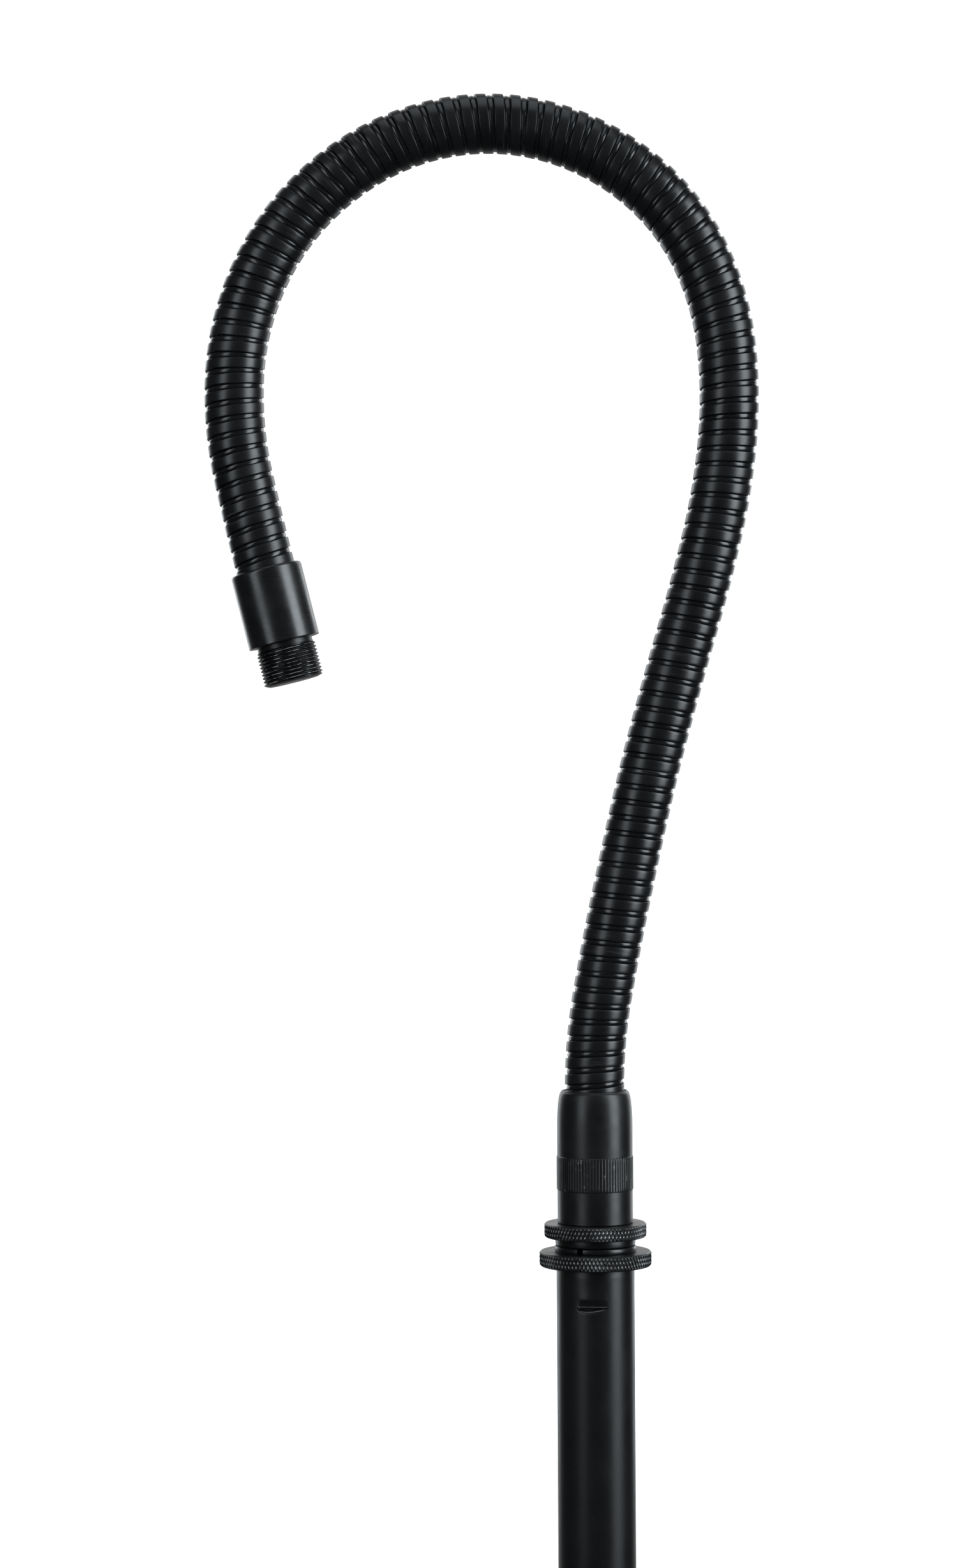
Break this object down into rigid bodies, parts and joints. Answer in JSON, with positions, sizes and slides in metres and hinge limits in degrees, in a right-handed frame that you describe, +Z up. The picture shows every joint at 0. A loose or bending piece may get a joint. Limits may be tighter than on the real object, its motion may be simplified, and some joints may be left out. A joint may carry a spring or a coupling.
{
  "type": "gooseneck microphone stand arm",
  "caption": "Flexible black gooseneck arm on a stand tube, with a knurled lock ring at its foot and a threaded stud for a microphone clip at its free end.",
  "frame": {"origin": "on the stand tube's axis, at the tube's lower end", "axes": "+Z up along the stand tube; the gooseneck crooks over towards -X; -Y is the front"},
  "size_m": [0.1452, 0.0294, 0.3967],
  "materials": {
    "tube_black": "satin black paint",
    "adapter_black": "satin black, diamond knurled rim",
    "washer_steel": "blackened spring steel",
    "ring_black": "satin black, diamond knurled rim, bright worn crests",
    "ferrule_black": "satin black, straight knurled band",
    "bush_steel": "turned steel",
    "sleeve_black": "satin black, turned",
    "stud_black": "black oxide, cut thread",
    "wedge_wire": "satin black",
    "round_wire": "black, polished by rubbing"
  },
  "bodies": {
    "stand": {"stand_tube": "tube_black", "stand_adapter": "adapter_black", "split_washer": "washer_steel"},
    "lock_ring": {"lock_ring": "ring_black"},
    "base": {"base_ferrule": "ferrule_black", "base_bush": "bush_steel", "outer_wire_00": "wedge_wire", "inner_wire_00": "round_wire"},
    "link_01": {"outer_wire_01": "wedge_wire", "inner_wire_01": "round_wire"},
    "link_02": {"outer_wire_02": "wedge_wire", "inner_wire_02": "round_wire"},
    "link_03": {"outer_wire_03": "wedge_wire", "inner_wire_03": "round_wire"},
    "link_04": {"outer_wire_04": "wedge_wire", "inner_wire_04": "round_wire"},
    "link_05": {"outer_wire_05": "wedge_wire", "inner_wire_05": "round_wire"},
    "link_06": {"outer_wire_06": "wedge_wire", "inner_wire_06": "round_wire"},
    "link_07": {"outer_wire_07": "wedge_wire", "inner_wire_07": "round_wire"},
    "link_08": {"outer_wire_08": "wedge_wire", "inner_wire_08": "round_wire"},
    "link_09": {"outer_wire_09": "wedge_wire", "inner_wire_09": "round_wire"},
    "link_10": {"outer_wire_10": "wedge_wire", "inner_wire_10": "round_wire"},
    "link_11": {"outer_wire_11": "wedge_wire", "inner_wire_11": "round_wire"},
    "link_12": {"outer_wire_12": "wedge_wire", "inner_wire_12": "round_wire"},
    "link_13": {"outer_wire_13": "wedge_wire", "inner_wire_13": "round_wire"},
    "link_14": {"outer_wire_14": "wedge_wire", "inner_wire_14": "round_wire"},
    "link_15": {"outer_wire_15": "wedge_wire", "inner_wire_15": "round_wire"},
    "link_16": {"outer_wire_16": "wedge_wire", "inner_wire_16": "round_wire"},
    "link_17": {"outer_wire_17": "wedge_wire", "inner_wire_17": "round_wire"},
    "link_18": {"outer_wire_18": "wedge_wire", "inner_wire_18": "round_wire", "end_sleeve": "sleeve_black", "end_stud": "stud_black"}
  },
  "joints": [
    {"name": "lock_ring_spin", "type": "hinge", "parent": "stand", "child": "lock_ring", "pos_m": [0, 0, 0.0993], "axis": [0, 0, 1], "continuous": true},
    {"name": "base_swivel", "type": "hinge", "parent": "stand", "child": "base", "pos_m": [0, 0, 0.11], "axis": [0, 0, 1], "range_deg": [-180, 180]},
    {"name": "hose_bend_01", "type": "hinge", "parent": "base", "child": "link_01", "pos_m": [0.00054, 0, 0.1482], "axis": [0, -1, 0], "range_deg": [-14, 20], "deforming": ["outer_wire_01", "inner_wire_01", "outer_wire_00", "inner_wire_00"]},
    {"name": "hose_sway_02", "type": "hinge", "parent": "link_01", "child": "link_02", "pos_m": [0.00442, 0, 0.17272], "axis": [0.9816, 0, -0.1908], "range_deg": [-20, 20], "deforming": ["outer_wire_02", "inner_wire_02"]},
    {"name": "hose_bend_03", "type": "hinge", "parent": "link_02", "child": "link_03", "pos_m": [0.00953, 0, 0.19702], "axis": [0, -1, 0], "range_deg": [-20, 20], "deforming": ["outer_wire_03", "inner_wire_03"]},
    {"name": "hose_sway_04", "type": "hinge", "parent": "link_03", "child": "link_04", "pos_m": [0.0152, 0, 0.2212], "axis": [0.9692, 0, -0.2462], "range_deg": [-20, 20], "deforming": ["outer_wire_04", "inner_wire_04"]},
    {"name": "hose_bend_05", "type": "hinge", "parent": "link_04", "child": "link_05", "pos_m": [0.02176, 0, 0.24515], "axis": [0, -1, 0], "range_deg": [-20, 20], "deforming": ["outer_wire_05", "inner_wire_05"]},
    {"name": "hose_sway_06", "type": "hinge", "parent": "link_05", "child": "link_06", "pos_m": [0.0286, 0, 0.26902], "axis": [0.9659, 0, -0.2588], "range_deg": [-20, 20], "deforming": ["outer_wire_06", "inner_wire_06"]},
    {"name": "hose_bend_07", "type": "hinge", "parent": "link_06", "child": "link_07", "pos_m": [0.03413, 0, 0.29322], "axis": [0, -1, 0], "range_deg": [-20, 16], "deforming": ["outer_wire_07", "inner_wire_07"]},
    {"name": "hose_bend_08", "type": "hinge", "parent": "link_07", "child": "link_08", "pos_m": [0.03632, 0, 0.31792], "axis": [0, -1, 0], "range_deg": [-20, 13], "deforming": ["outer_wire_08", "inner_wire_08"]},
    {"name": "hose_bend_09", "type": "hinge", "parent": "link_08", "child": "link_09", "pos_m": [0.03331, 0, 0.34249], "axis": [0, 1, 0], "range_deg": [0, 19], "deforming": ["outer_wire_09", "inner_wire_09"]},
    {"name": "hose_bend_10", "type": "hinge", "parent": "link_09", "child": "link_10", "pos_m": [0.02246, 0, 0.36467], "axis": [0, 1, 0], "range_deg": [0, 24], "deforming": ["outer_wire_10", "inner_wire_10"]},
    {"name": "hose_bend_11", "type": "hinge", "parent": "link_10", "child": "link_11", "pos_m": [0.00378, 0, 0.38077], "axis": [0, 1, 0], "range_deg": [0, 22], "deforming": ["outer_wire_11", "inner_wire_11"]},
    {"name": "hose_bend_12", "type": "hinge", "parent": "link_11", "child": "link_12", "pos_m": [-0.01965, 0, 0.38852], "axis": [0, 1, 0], "range_deg": [0, 23], "deforming": ["outer_wire_12", "inner_wire_12"]},
    {"name": "hose_bend_13", "type": "hinge", "parent": "link_12", "child": "link_13", "pos_m": [-0.04422, 0, 0.38643], "axis": [0, 1, 0], "range_deg": [0, 22], "deforming": ["outer_wire_13", "inner_wire_13"]},
    {"name": "hose_bend_14", "type": "hinge", "parent": "link_13", "child": "link_14", "pos_m": [-0.06617, 0, 0.37512], "axis": [0, 1, 0], "range_deg": [0, 20], "deforming": ["outer_wire_14", "inner_wire_14"]},
    {"name": "hose_bend_15", "type": "hinge", "parent": "link_14", "child": "link_15", "pos_m": [-0.0827, 0, 0.35676], "axis": [0, 1, 0], "range_deg": [0, 20], "deforming": ["outer_wire_15", "inner_wire_15"]},
    {"name": "hose_bend_16", "type": "hinge", "parent": "link_15", "child": "link_16", "pos_m": [-0.0918, 0, 0.3338], "axis": [0, 1, 0], "range_deg": [0, 19], "deforming": ["outer_wire_16", "inner_wire_16"]},
    {"name": "hose_bend_17", "type": "hinge", "parent": "link_16", "child": "link_17", "pos_m": [-0.09294, 0, 0.30908], "axis": [0, 1, 0], "range_deg": [0, 14], "deforming": ["outer_wire_17", "inner_wire_17"]},
    {"name": "hose_sway_18", "type": "hinge", "parent": "link_17", "child": "link_18", "pos_m": [-0.08826, 0, 0.28471], "axis": [-0.9734, 0, -0.2292], "range_deg": [-20, 20], "deforming": ["outer_wire_18", "inner_wire_18"]}
  ]
}
